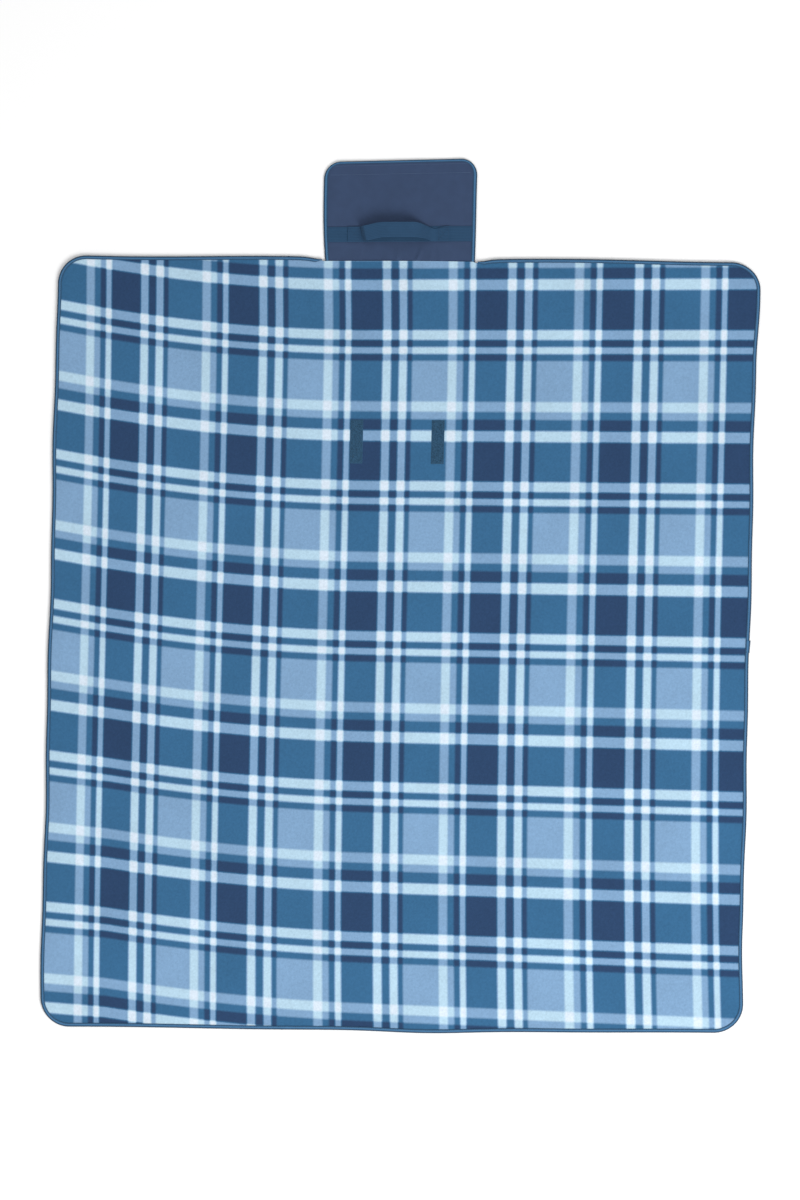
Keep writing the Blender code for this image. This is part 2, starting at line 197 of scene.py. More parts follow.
def closed_sheet(name, top, bottom, finish, uv):
    """Cloth with a thickness: two grids of points, rows by columns, joined round the rim. Faces point outwards."""
    rows, cols = top.shape[:2]
    count = rows * cols
    verts = np.concatenate([top.reshape(-1, 3), bottom.reshape(-1, 3)])
    index = np.arange(count).reshape(rows, cols)
    quads = np.stack([index[:-1, :-1], index[:-1, 1:], index[1:, 1:], index[1:, :-1]], -1).reshape(-1, 4)
    rim = np.concatenate([index[0, :], index[1:, -1], index[-1, -2::-1], index[-2:0:-1, 0]])
    wall = np.stack([rim, rim + count, np.roll(rim, -1) + count, np.roll(rim, -1)], -1)
    faces = np.concatenate([quads, quads[:, ::-1] + count, wall])
    flat_uv = uv.reshape(-1, 2)
    return new_object(name, verts, faces.tolist(), finish, np.concatenate([flat_uv, flat_uv]), sharp=40)


def feed(tree, node, inputs):
    """Sets a node's inputs, given by name or number: a socket of another node is linked, and a value is set."""
    for key, value in inputs.items():
        if isinstance(value, bpy.types.NodeSocket):
            tree.links.new(value, node.inputs[key])
        else:
            node.inputs[key].default_value = value
    return node


def add_node(tree, kind, inputs=None, **settings):
    made = tree.nodes.new(kind)
    for key, value in settings.items():
        setattr(made, key, value)
    return feed(tree, made, inputs or {})


def maths(tree, operation, first, second=None):
    """The result of a Math node; first and second are sockets or numbers."""
    inputs = {0: first} if second is None else {0: first, 1: second}
    return add_node(tree, "ShaderNodeMath", inputs, operation=operation).outputs[0]


def new_finish(name, roughness, sheen=0.0, sheen_tint=(1, 1, 1), specular=0.3):
    """A material with a Principled BSDF, and the numbers that are the same all over set on its own sockets."""
    made = bpy.data.materials.new(name)
    made.use_nodes = True
    shader = made.node_tree.nodes["Principled BSDF"]
    feed(made.node_tree, shader, {"Roughness": roughness, "Specular IOR Level": specular, "Sheen Weight": sheen,
                                  "Sheen Roughness": 0.5, "Sheen Tint": (*sheen_tint, 1)})
    return made, made.node_tree, shader


def linear(red, green, blue):
    """A colour given in 0 to 255 as the eye sees it, in the light values that shaders take."""
    def channel(value):
        value /= 255
        return value / 12.92 if value <= 0.04045 else ((value + 0.055) / 1.055) ** 2.4
    return channel(red), channel(green), channel(blue)


def add_ramp(tree, value, stops):
    """The colour of a ramp at a value; stops lists position and colour from 0 to 1."""
    ramp = add_node(tree, "ShaderNodeValToRGB", {0: value})
    points = ramp.color_ramp.elements
    for element, (spot, color) in zip(points, (stops[0], stops[-1])):
        element.position = spot
        element.color = (*color, 1)
    for spot, color in stops[1:-1]:
        points.new(spot).color = (*color, 1)
    return ramp.outputs[0]


def cover(tree, shader, color, shade, height, strength, distance):
    """Gives a shader its colour, made lighter and darker by a shade round 1, and its bump."""
    scaled = add_node(tree, "ShaderNodeVectorMath", {0: color, "Scale": shade}, operation="SCALE")
    bumped = add_node(tree, "ShaderNodeBump", {"Strength": strength, "Distance": distance, "Height": height})
    feed(tree, shader, {"Base Color": scaled.outputs[0], "Normal": bumped.outputs[0]})


def surface_group(name, inputs):
    """A shader node group for the height and shade of a cloth, with float inputs given as name and value."""
    tree = bpy.data.node_groups.new(name, "ShaderNodeTree")
    for label, value in inputs.items():
        tree.interface.new_socket(label, in_out="INPUT", socket_type="NodeSocketFloat").default_value = value
    for label in ("Height", "Shade"):
        tree.interface.new_socket(label, in_out="OUTPUT", socket_type="NodeSocketFloat")
    return tree, add_node(tree, "NodeGroupInput").outputs


def build_nap():
    """Brushed pile: clumps of fibre of a given size, as a height and as a shade round 1."""
    tree, given = surface_group("nap", {"Clump": 0.003, "Contrast": 0.10})
    place = add_node(tree, "ShaderNodeTexCoord").outputs["Object"]
    fine = add_node(tree, "ShaderNodeTexNoise", {"Vector": place, "Detail": 3, "Roughness": 0.65,
                                                 "Scale": maths(tree, "DIVIDE", 1.0, given["Clump"])}).outputs["Fac"]
    broad = add_node(tree, "ShaderNodeTexNoise", {"Vector": place, "Scale": 9.0, "Detail": 2}).outputs["Fac"]
    both = maths(tree, "ADD", fine, maths(tree, "MULTIPLY", broad, 0.5))
    centred = maths(tree, "MULTIPLY", maths(tree, "SUBTRACT", both, 0.75), given["Contrast"])
    add_node(tree, "NodeGroupOutput", {"Height": fine, "Shade": maths(tree, "ADD", centred, 1.0)})
    return tree


NAP = build_nap()


def build_weave():
    """Plain weave: threads crossing at a given pitch, as a height and as a shade round 1, with slubs."""
    tree, given = surface_group("weave", {"Pitch": 0.001, "Contrast": 0.12, "Slub": 0.10})
    place = add_node(tree, "ShaderNodeTexCoord").outputs["Object"]
    parts = add_node(tree, "ShaderNodeSeparateXYZ", {0: place}).outputs
    turn = maths(tree, "DIVIDE", math.tau / 2, given["Pitch"])
    warp = maths(tree, "SINE", maths(tree, "MULTIPLY", parts[0], turn))
    weft = maths(tree, "SINE", maths(tree, "MULTIPLY", parts[1], turn))
    checker = maths(tree, "MULTIPLY", warp, weft)
    slub = add_node(tree, "ShaderNodeTexNoise", {"Vector": place, "Scale": 45.0, "Detail": 4}).outputs["Fac"]
    threads = maths(tree, "MULTIPLY", checker, given["Contrast"])
    mottle = maths(tree, "MULTIPLY", maths(tree, "SUBTRACT", slub, 0.5), given["Slub"])
    add_node(tree, "NodeGroupOutput",
             {"Height": maths(tree, "ADD", maths(tree, "MULTIPLY", checker, 0.5), 0.5),
              "Shade": maths(tree, "ADD", maths(tree, "ADD", threads, mottle), 1.0)})
    return tree


WEAVE = build_weave()


def add_group(tree, group, **values):
    return add_node(tree, "ShaderNodeGroup", values, node_tree=group).outputs


# The print is a tartan: bands across and bands down, each of level 0, 1 or 2, and where they cross the levels add
# up to one of five blues. A sett lists its bands in order as (width in millimetres, level).
SETT_ACROSS = [(14.8, 2), (12.6, 1), (11.7, 0), (11.8, 2), (61.2, 0), (16.6, 2), (15.4, 0), (15.8, 2), (10.0, 0),
               (72.0, 1)]
SETT_DOWN = [(19.2, 2), (76.8, 0), (19.2, 2), (13.6, 0), (13.6, 2), (13.4, 0), (79.0, 1), (19.2, 2), (15.0, 1),
             (23.8, 0)]
REPEAT_ACROSS = 0.2419
REPEAT_DOWN = 0.2928
START_ACROSS = -0.6413
START_DOWN = 0.6134
BLUES = [(37, 62, 96), (50, 97, 135), (120, 154, 188), (172, 201, 219), (205, 218, 231)]
PRINT_SOFTNESS = 0.0021
FIBRE_STRAY = 0.006


def print_place(x, y):
    """Where a laid point falls on the print, in repeats across and down. The print runs a little off the cut:
    it is stretched towards the right, leans, ripples a little and climbs along the left edge."""
    stretch = -0.0020 - 0.0345 * x ** 2 + 0.0437 * x ** 3
    leaning = -0.0068 * y - 0.0043 * y ** 2 + 0.0133 * y ** 3 + 0.0037 * x * y - 0.0141 * x * y ** 2
    ripple = wave(0.0015, 10.5, x, -1.14) + 0.0010 * y * np.cos(10.5 * x)
    near_flap = 0.0026 * smooth((y - 0.50) / 0.15) * hump(x, -0.12, 0.22)
    across = x + stretch + leaning + ripple + near_flap
    left = np.clip(-0.06 - x, 0.0, None)
    left = left - 0.7 * np.clip(left - 0.5, 0.0, None) * np.clip(-1.3 * y, 0.0, 1.0)
    down = y + 0.0019 - 0.031 * x * y - (0.143 + 0.033 * y) * left ** 2
    return np.stack([(across - START_ACROSS) / REPEAT_ACROSS, (START_DOWN - down) / REPEAT_DOWN], -1)


def sett_ramp(tree, phase, sett, repeat):
    """The level of a sett, 0 to 1, at a phase: a ramp that steps softly from band to band."""
    total = sum(width for width, _ in sett)
    soft = PRINT_SOFTNESS / repeat
    stops = [(0.0, sett[0][1])]
    place = 0.0
    for (width, level), (_, following) in zip(sett, sett[1:]):
        place += width / total
        stops += [(place - soft, level), (place + soft, following)]
    stops += [(1.0 - 2 * soft, sett[-1][1]), (1.0, sett[0][1])]
    return add_ramp(tree, maths(tree, "FRACT", phase), [(spot, (level / 2,) * 3) for spot, level in stops])


def build_fleece():
    """The printed fleece: its bands stray a hair where the pile stands across their edges."""
    made, tree, shader = new_finish("printed_fleece", 0.92, sheen=0.18, sheen_tint=(0.75, 0.85, 1.0), specular=0.15)
    place = add_node(tree, "ShaderNodeUVMap", uv_map="cloth").outputs[0]
    fuzz = add_node(tree, "ShaderNodeTexNoise", {"Vector": add_node(tree, "ShaderNodeTexCoord").outputs["Object"],
                                                 "Scale": 420.0, "Detail": 2}).outputs["Color"]
    shift = add_node(tree, "ShaderNodeVectorMath", {0: fuzz, 1: (FIBRE_STRAY, FIBRE_STRAY, 0.0), 2: place},
                     operation="MULTIPLY_ADD")
    parts = add_node(tree, "ShaderNodeSeparateXYZ", {0: shift.outputs[0]}).outputs
    level = maths(tree, "ADD", sett_ramp(tree, parts[0], SETT_ACROSS, REPEAT_ACROSS),
                  sett_ramp(tree, parts[1], SETT_DOWN, REPEAT_DOWN))
    blue = add_ramp(tree, maths(tree, "MULTIPLY", level, 0.5),
                    [(step / (len(BLUES) - 1), linear(*blue)) for step, blue in enumerate(BLUES)])
    nap = add_group(tree, NAP, Clump=0.0045, Contrast=0.42)
    cover(tree, shader, blue, nap["Shade"], nap["Height"], 0.55, 0.0012)
    return made


def build_woven(name, color, pitch, contrast, slub, roughness, sheen=0.1, strength=0.5, specular=0.3):
    """A plain-woven cloth of one colour."""
    made, tree, shader = new_finish(name, roughness, sheen=sheen, sheen_tint=(0.7, 0.8, 1.0), specular=specular)
    weave = add_group(tree, WEAVE, Pitch=pitch, Contrast=contrast, Slub=slub)
    cover(tree, shader, linear(*color), weave["Shade"], weave["Height"], strength, 0.0003)
    return made


def build_napped(name, color, clump, contrast, finish, strength, distance):
    """A felted or looped pile of one colour."""
    made, tree, shader = new_finish(name, **finish)
    nap = add_group(tree, NAP, Clump=clump, Contrast=contrast)
    cover(tree, shader, color, nap["Shade"], nap["Height"], strength, distance)
    return made


FLEECE = build_fleece()
WADDING = build_napped("white_wadding", (0.72, 0.72, 0.70), 0.006, 0.15, {"roughness": 0.95, "sheen": 0.2}, 0.6, 0.002)
BACKING = build_woven("waterproof_backing", (46, 62, 88), 0.0009, 0.10, 0.12, 0.42, sheen=0.0)

COLUMNS = int(round(2 * SIDE_X / CELL))
LAYERS = {"backing": (BACKING, "waterproof_backing"), "wadding": (WADDING, "white_wadding"),
          "fleece": (FLEECE, "printed_fleece")}


def quilt_grid(high, low, crease):
    """One length of cloth: laid x and y, how far it rises, and how its layers thin towards the edge."""
    top = TOP_Y - LAYER_INSET if high == TOP_Y else high
    bottom = BOTTOM_Y + LAYER_INSET if low == BOTTOM_Y else low
    y = row_places(bottom, top, crease)[:, None]
    share = np.linspace(-1.0, 1.0, COLUMNS)[None, :]
    x = share * half_width(y, LAYER_INSET)
    y = np.repeat(y, COLUMNS, axis=1)
    in_notch = smooth((NOTCH_HALF + 0.002 - np.abs(x - FLAP_X)) / 0.004)
    lowered = (SEAM_Y - 0.0004 - (TOP_Y - LAYER_INSET)) * in_notch * smooth((y - TOP_Y + 0.03) / 0.0275)
    y = y + lowered
    return (*lay_quilt(x, y), press(edge_distance(x, y)))


# Each length of cloth reaches from the middle of one panel to the middle of the next, round the crease between
for number, (high, low, crease) in enumerate(zip([TOP_Y] + MIDDLES, MIDDLES + [BOTTOM_Y], CREASES), 1):
    laid_x, laid_y, lift, squeeze = quilt_grid(high, low, crease)
    place = print_place(laid_x, laid_y)
    for layer, (finish, slot) in LAYERS.items():
        under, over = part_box(f"{layer}_4")[0].z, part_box(f"{layer}_4")[1].z
        bottom = np.stack([laid_x, laid_y, lift + under * squeeze], -1)
        top = np.stack([laid_x, laid_y, lift + over * squeeze], -1)
        piece = closed_sheet(f"{layer}_cloth_{number}", top, bottom, finish, place)
        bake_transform(piece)
        nodes = [f"{layer}_{number}"] + ([f"{layer}_{number + 1}"] if number == len(CREASES) else [])
        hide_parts(*nodes)


# ---------------------------------------------------------------- edge tape
# One long woven tape is folded over the raw edge of all three layers and stitched through them. It starts and ends
# turned under at the flap, and its lip puckers slightly between the stitches.

TAPE_STEP = 0.0035
TAPE_END_TURN = 0.016
# Painted shade and highlight across the tape, from the lip's edge over the fold: place, as a share of SHADE_SPAN,
# and brightness. The stitched lip edge and the fold over the edge are painted darker, and the tape's top lighter
TAPE_PAINTED_SHADING = [(0.0, 0.40), (0.08, 0.46), (0.17, 0.80), (0.26, 1.05), (0.34, 0.90), (0.43, 0.42), (0.55, 0.27),
              (1.0, 0.24)]
SHADE_SPAN = 0.012


def build_tape():
    """Woven tape: painted shade on its fold over the edge and at its stitched lip, and a painted highlight on its top.
    """
    made, tree, shader = new_finish("edge_tape", 0.75, sheen=0.08, sheen_tint=(0.7, 0.85, 1.0), specular=0.2)
    place = add_node(tree, "ShaderNodeUVMap", uv_map="cloth").outputs[0]
    parts = add_node(tree, "ShaderNodeSeparateXYZ", {0: place}).outputs
    across = add_node(tree, "ShaderNodeMapRange", {"Value": parts[1], "From Max": SHADE_SPAN}).outputs[0]
    # Painted shade and highlight: the ramp darkens the stitched lip edge and the fold, and lightens the tape's top
    painted_shading = add_ramp(tree, across, [(spot, (value,) * 3) for spot, value in TAPE_PAINTED_SHADING])
    weave = add_group(tree, WEAVE, Pitch=0.0012, Contrast=0.22, Slub=0.25)
    shade = maths(tree, "MULTIPLY", weave["Shade"], painted_shading)
    cover(tree, shader, linear(66, 112, 152), shade, weave["Height"], 0.5, 0.0003)
    return made


TAPE = build_tape()
PALE_THREAD = build_woven("pale_thread", (84, 108, 142), 0.0004, 0.20, 0.10, 0.55, sheen=0.1)
TAPE_OUTER = [(0.0075, 6.90), (0.0062, 7.05), (0.0046, 7.00), (0.0030, 6.75), (0.0016, 6.10), (0.0005, 5.00),
              (0.0000, 3.60), (0.0005, 1.80), (0.0016, 0.70), (0.0030, 0.15), (0.0050, 0.00), (0.0075, 0.00)]
TAPE_INNER = [(0.0075, 0.60), (0.0050, 0.60), (0.0032, 0.75), (0.0022, 1.20), (0.0013, 2.20), (0.0008, 3.60),
              (0.0013, 4.80), (0.0022, 5.70), (0.0032, 6.15), (0.0050, 6.40), (0.0075, 6.35)]
TAPE_SECTION = np.array([(depth, height / 1000) for depth, height in TAPE_OUTER + TAPE_INNER])


def side_path(side):
    """The blanket's edge from the flap round one side to the middle of the far end: x, y, inward x, inward y."""
    radius = CORNER_RADIUS
    points = []
    start = FLAP_X + side * NOTCH_HALF
    for x in np.linspace(start, side * (SIDE_X - radius), int((SIDE_X - radius - side * start) / TAPE_STEP)):
        points.append((x, TOP_Y, 0.0, -1.0))
    corner_steps = int(radius * math.pi / 2 / TAPE_STEP)
    for step in range(1, corner_steps + 1):
        angle = math.pi / 2 * (1 - step / corner_steps)
        out_x, out_y = side * math.cos(angle), math.sin(angle)
        points.append((side * (SIDE_X - radius) + radius * out_x, TOP_Y - radius + radius * out_y, -out_x, -out_y))
    stops = sorted([TOP_Y - radius, BOTTOM_Y + radius] + MIDDLES
                   + [crease + way * FOLD_REACH for crease in CREASES for way in (-1, 1)], reverse=True)
    for high, low in zip(stops, stops[1:]):
        bends = any(low < crease < high for crease in CREASES) and high - low < 2.1 * FOLD_REACH
        count = max(int(round((high - low) / (FOLD_CELL if bends else TAPE_STEP))), 1)
        for y in np.linspace(high, low, count + 1)[1:]:
            points.append((side * SIDE_X, y, -side, 0.0))
    for step in range(1, corner_steps + 1):
        angle = math.pi / 2 * step / corner_steps
        out_x, out_y = side * math.cos(angle), -math.sin(angle)
        points.append((side * (SIDE_X - radius) + radius * out_x, BOTTOM_Y + radius + radius * out_y, -out_x, -out_y))
    for x in np.linspace(side * (SIDE_X - radius), 0.0, int((SIDE_X - radius) / TAPE_STEP))[1:]:
        points.append((x, BOTTOM_Y, 0.0, 1.0))
    return np.array(points)


def path_length(path):
    steps = np.hypot(*np.diff(path[:, :2], axis=0).T)
    return np.concatenate([[0.0], np.cumsum(steps)])


def swept(name, rings, finish, uv):
    """A closed band through rings of points, with its ends filled; its faces are turned outwards."""
    count, around = rings.shape[:2]
    index = np.arange(count * around).reshape(count, around)
    beside = np.roll(index, -1, axis=1)
    walls = np.stack([index[:-1], beside[:-1], beside[1:], index[1:]], -1).reshape(-1, 4)
    faces = walls.tolist() + [index[0, ::-1].tolist(), index[-1].tolist()]
    points = rings.reshape(-1, 3)
    triangles = points[walls[:, [0, 1, 2]]], points[walls[:, [0, 2, 3]]]
    volume = sum(np.einsum("ij,ij->i", t[:, 0], np.cross(t[:, 1], t[:, 2])).sum() for t in triangles)
    if volume < 0:
        faces = [face[::-1] for face in faces]
    return new_object(name, points, faces, finish, uv.reshape(-1, 2), sharp=50)


def tape_rings(path, section, floor, laid, narrow):
    """Rings of a folded tape along a path, and their places along and round the tape. laid turns flat x and y into
    laid x, y and a lift, and narrow is the share of its full width that the lip has at each point."""
    along = path_length(path)
    depth, height = section[:, 0][None, :] * narrow[:, None], section[:, 1][None, :]
    pucker = wave(0.00016, math.tau / 0.011, along) + wave(0.00012, math.tau / 0.037, along, 1.3)
    x = path[:, 0][:, None] + path[:, 2][:, None] * depth
    y = path[:, 1][:, None] + path[:, 3][:, None] * depth
    upper = height > section[:, 1].max() / 2
    rings = laid_points(laid, x, y, floor + height + np.where(upper, pucker[:, None], 0.0))
    return rings, np.stack(np.meshgrid(along, path_length(section), indexing="ij"), -1)


def stitch_line(path, inset, laid, height):
    """The line of stitches that runs beside a path, an inset away from it."""
    return laid_points(laid, path[:, 0] + path[:, 2] * inset, path[:, 1] + path[:, 3] * inset, height)


QUILT_TAPE_SECTION = TAPE_SECTION * np.array([1.0, 0.84])

STITCH_PITCH = 0.0042
STITCH_LENGTH = 0.0027
STITCH_THICKNESS = 0.0007
STITCH_INSET = 0.0056


def instance_tree(name, floats):
    """A Geometry Nodes tree with a geometry, named floats and a thread for inputs. It ends with its instances made
    real and given the thread; the instancing node is returned with the tree and its inputs, to be fed."""
    tree = bpy.data.node_groups.new(name, "GeometryNodeTree")
    sockets = [("Geometry", "Geometry"), *((label, "Float") for label in floats), ("Thread", "Material")]
    for label, kind in sockets:
        tree.interface.new_socket(label, in_out="INPUT", socket_type="NodeSocket" + kind)
    tree.interface.new_socket("Geometry", in_out="OUTPUT", socket_type="NodeSocketGeometry")
    given = add_node(tree, "NodeGroupInput").outputs
    place = add_node(tree, "GeometryNodeInstanceOnPoints")
    real = add_node(tree, "GeometryNodeRealizeInstances", {0: place.outputs[0]})
    thread = add_node(tree, "GeometryNodeSetMaterial", {"Geometry": real.outputs[0], "Material": given["Thread"]})
    add_node(tree, "NodeGroupOutput", {0: thread.outputs[0]})
    return tree, given, place


def build_stitch_tree():
    """Stitches along a line of edges: the line is cut at the pitch, and a short bead of thread lies at each cut."""
    tree, given, place = instance_tree("stitch_row", ("Pitch", "Length", "Thickness"))
    line = add_node(tree, "GeometryNodeMeshToCurve", {0: given["Geometry"]}).outputs[0]
    cut = add_node(tree, "GeometryNodeResampleCurve", {"Curve": line, "Length": given["Pitch"]}, mode="LENGTH")
    bead = add_node(tree, "GeometryNodeMeshIcoSphere", {"Radius": 0.5, "Subdivisions": 1})
    tangent = add_node(tree, "GeometryNodeInputTangent").outputs[0]
    turn = add_node(tree, "FunctionNodeAlignRotationToVector", {"Vector": tangent}, axis="X")
    size = add_node(tree, "ShaderNodeCombineXYZ", {0: given["Length"], 1: given["Thickness"], 2: given["Thickness"]})
    feed(tree, place, {"Points": cut.outputs[0], "Instance": bead.outputs[0], "Rotation": turn.outputs[0],
                       "Scale": size.outputs[0]})
    return tree


STITCH_TREE = build_stitch_tree()


def grown(name, mesh, tree, finish, **values):
    """Runs a Geometry Nodes tree on a mesh and returns a plain mesh object of what it makes."""
    made = placed_object(name, mesh)
    modifier = made.modifiers.new(name, "NODES")
    modifier.node_group = tree
    values["thread"] = finish
    for item in tree.interface.items_tree:
        label = item.name.lower()
        if item.in_out == "INPUT" and label in values:
            modifier[item.identifier] = values[label]
    graph = bpy.context.evaluated_depsgraph_get()
    result = bpy.data.meshes.new_from_object(made.evaluated_get(graph))
    made.modifiers.clear()
    made.data = result
    if not result.materials:
        result.materials.append(finish)
    result.shade_smooth()
    return made


def stitch_row(name, lines, finish, pitch=STITCH_PITCH, length=STITCH_LENGTH, thickness=STITCH_THICKNESS):
    """Thread along one or more lines of points."""
    mesh = bpy.data.meshes.new(name + "_line")
    points, edges = [], []
    for line in lines:
        first = len(points)
        points += [tuple(point) for point in line]
        edges += [(i, i + 1) for i in range(first, len(points) - 1)]
    mesh.from_pydata(points, edges, [])
    return grown(name, mesh, STITCH_TREE, finish, pitch=pitch, length=length, thickness=thickness)


def tape_run(tape_name, stitch_name, rings, uv, row, bodies, bend, nodes):
    """A length of tape and the stitches that hold it; bodies and bend are not used."""
    piece = swept(tape_name, rings, TAPE, uv)
    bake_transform(piece)
    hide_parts(*nodes)
    seam = stitch_row(stitch_name, [row], THREAD)
    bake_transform(seam)


THREAD = build_woven("thread", (30, 54, 84), 0.0004, 0.20, 0.10, 0.55, sheen=0.1)

FIRST_STITCH = 5
END_WIDTH = 0.35

for side, side_name in ((-1, "left"), (1, "right")):
    path = side_path(side)
    straight = np.abs(path[:, 0]) > SIDE_X - 1e-6
    side_y = np.where(straight, path[:, 1], np.inf)
    breaks = [0, *(int(np.argmin(np.abs(side_y - middle))) for middle in MIDDLES), len(path) - 1]
    narrow = END_WIDTH + (1 - END_WIDTH) * smooth(path_length(path) / TAPE_END_TURN)
    rings, uv = tape_rings(path, QUILT_TAPE_SECTION, 0.0, lay_quilt, narrow)
    row = stitch_line(path, STITCH_INSET, lay_quilt, QUILT_TAPE_SECTION[:, 1].max() - 0.0001)
    for number, (first, last, crease) in enumerate(zip(breaks, breaks[1:], CREASES), 1):
        nodes = [f"edge_tape_{side_name}_{number}"]
        if number == len(CREASES):
            nodes.append(f"edge_tape_{side_name}_{number + 1}")
        tape_run(f"edge_tape_run_{side_name}_{number}", f"edge_stitches_{side_name}_{number}",
                 rings[first:last + 1], uv[first:last + 1], row[max(first, FIRST_STITCH):last + 1],
                 (f"panel_{number}", f"panel_{number + 1}"),
                 {"start": (0, crease + FOLD_REACH, 0), "end": (0, crease - FOLD_REACH, 0)}, nodes)


# The tape's two ends overlap on the right side: the upper end is turned under and lies over the lower one.
JOIN_Y = -0.0820
JOIN_LENGTH = 0.024
JOIN_STEPS = 14
JOIN_FULLNESS = 0.24
join_y = np.linspace(JOIN_Y, JOIN_Y - JOIN_LENGTH, JOIN_STEPS)
join_path = np.stack([np.full_like(join_y, SIDE_X), join_y, np.full_like(join_y, -1.0), np.zeros_like(join_y)], -1)
rings, uv = tape_rings(join_path, QUILT_TAPE_SECTION, 0.0, lay_quilt, np.ones(JOIN_STEPS))
middle = rings.mean(axis=1, keepdims=True)
fullness = 1 + JOIN_FULLNESS * (1 - smooth((JOIN_Y - join_y) / JOIN_LENGTH))[:, None]
spread = rings - middle
rings[:, :, 0] = middle[:, :, 0] + spread[:, :, 0] * fullness + 0.0012
rings[:, :, 2] = np.maximum(middle[:, :, 2] + spread[:, :, 2] * (fullness + 0.03), 0.0)
join = swept("edge_tape_join", rings, TAPE, uv)
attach(join, "panel_4")


# ---------------------------------------------------------------- loop patches
# Two strips of loop tape are sewn to the fleece a forearm's length below the flap; the flap's hook tape catches on
# them when the blanket is folded. Each has a flat woven ground, a nap of small loops and a line of thread round it.

LOOP_NAP = build_napped("loop_patch", linear(44, 80, 108), 0.0016, 0.75,
                        {"roughness": 0.9, "sheen": 0.20, "specular": 0.2, "sheen_tint": (0.6, 0.8, 0.95)}, 0.8, 0.001)
LOOP_DENSITY, LOOP_SIZE, LOOP_THICKNESS = 520000.0, 0.0015, 0.00012
LOOP_FOOT = 0.0009
LOOP_MARGIN, SEAM_MARGIN = 0.0015, 0.0016
fleece_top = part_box("fleece_4")[1].z


def build_tuft_tree(name, arch_angle, seed):
    """Small bent threads standing on a surface: full arches are loops, and shorter arcs are hooks."""
    tree, given, place = instance_tree(name, ("Density", "Size", "Thickness"))
    scatter = add_node(tree, "GeometryNodeDistributePointsOnFaces",
                       {"Mesh": given["Geometry"], "Density": given["Density"], "Seed": seed})
    arch = add_node(tree, "GeometryNodeCurveArc", {"Resolution": 5, "Radius": 0.5, "Sweep Angle": arch_angle})
    stand = add_node(tree, "GeometryNodeTransform", {0: arch.outputs[0], "Rotation": (math.pi / 2, 0, 0)})
    radius = maths(tree, "DIVIDE", given["Thickness"], given["Size"])
    section = add_node(tree, "GeometryNodeCurvePrimitiveCircle", {"Resolution": 3, "Radius": radius})
    body = add_node(tree, "GeometryNodeCurveToMesh", {"Curve": stand.outputs[0], "Profile Curve": section.outputs[0]})
    spin = add_node(tree, "FunctionNodeRandomValue",
                    {0: (-0.35, -0.35, 0.0), 1: (0.35, 0.35, math.tau), "Seed": seed + 1}, data_type="FLOAT_VECTOR")
    vary = add_node(tree, "FunctionNodeRandomValue", {2: 0.7, 3: 1.25, "Seed": seed + 2}, data_type="FLOAT")
    feed(tree, place, {"Points": scatter.outputs[0], "Instance": body.outputs[0], "Rotation": spin.outputs[0],
                       "Scale": maths(tree, "MULTIPLY", given["Size"], vary.outputs[1])})
    return tree


LOOP_TREE = build_tuft_tree("loop_nap", math.pi, seed=4)


def rectangle(low, high, inset):
    """The corners of a box seen from above, drawn in by an inset, in order and back to the first: all x, all y."""
    left, right, near, far = low.x + inset, high.x - inset, low.y + inset, high.y - inset
    return np.array([left, right, right, left, left]), np.array([near, near, far, far, near])


def quad_mesh(name, points):
    """A mesh of one quad."""
    mesh = bpy.data.meshes.new(name)
    mesh.from_pydata(points.tolist(), [], [(0, 1, 2, 3)])
    return mesh


for side_name in ("left", "right"):
    low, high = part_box(f"loop_patch_{side_name}")
    x, y = np.meshgrid(np.linspace(low.x, high.x, 14), np.linspace(low.y, high.y, 44))
    border = np.minimum(np.minimum(x - low.x, high.x - x), np.minimum(y - low.y, high.y - y))
    crown = 0.0004 + 0.0006 * smooth(border / 0.003)
    ripple = 0.00012 * np.sin(900.0 * x + 300 * y) * np.sin(700.0 * y)
    top = laid_points(lay_quilt, x, y, fleece_top + crown + ripple)
    bottom = laid_points(lay_quilt, x, y, fleece_top - 0.0002)
    patch = closed_sheet(f"loop_ground_{side_name}", top, bottom, LOOP_NAP, np.stack([x, y], -1))
    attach(patch, "panel_2")
    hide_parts(f"loop_patch_{side_name}")
    face = laid_points(lay_quilt, *rectangle(low, high, LOOP_MARGIN), fleece_top + LOOP_FOOT)
    loops = grown(f"loop_threads_{side_name}", quad_mesh(f"loop_seed_{side_name}", face[:4]), LOOP_TREE, LOOP_NAP,
                  density=LOOP_DENSITY, size=LOOP_SIZE, thickness=LOOP_THICKNESS)
    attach(loops, "panel_2")
    ring = laid_points(lay_quilt, *rectangle(low, high, SEAM_MARGIN), fleece_top + LOOP_FOOT)
    seam = stitch_row(f"loop_stitches_{side_name}", [ring], THREAD, pitch=0.0034, length=0.0023, thickness=0.0005)
    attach(seam, "panel_2")


# ---------------------------------------------------------------- flap
# The flap is two layers of plain-woven polyester with rounded outer corners, caught in the blanket's end seam. It
# is narrowest there, where the seam gathers it into a few short creases, and it bends past the handle when shut.

FLAP_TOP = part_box("flap_tape_tongue")[1].y
FLAP_CREASE = JOINT_PLACES["flap_crease"][1]
FLAP_LENGTH = FLAP_TOP - SEAM_Y
FLAP_CORNER = 0.033
FLAP_INSET = 0.0022
FLAP_CELL = 0.0025
FLAP_CLOTH = build_woven("woven_flap", (48, 66, 97), 0.0011, 0.07, 0.30, 0.80, sheen=0.06)
band_low, band_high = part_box("webbing_band")
BAND_Y = (band_low.y + band_high.y) / 2
FLAP_SHIFT = 0.0087
SEAM_REACH = 0.004
FLAP_FOLD_REACH = 0.012
# The short creases that start at the seam: x from the flap's middle, height, and lean towards the right
SEAM_CREASES = [(-0.004, 0.0018, -0.05), (0.033, 0.0034, 0.38), (0.083, 0.0022, -0.36), (0.060, 0.0010, 0.10),
                (-0.080, 0.0010, 0.15)]
CREASE_WIDTH, CREASE_LENGTH = 0.0042, 0.036


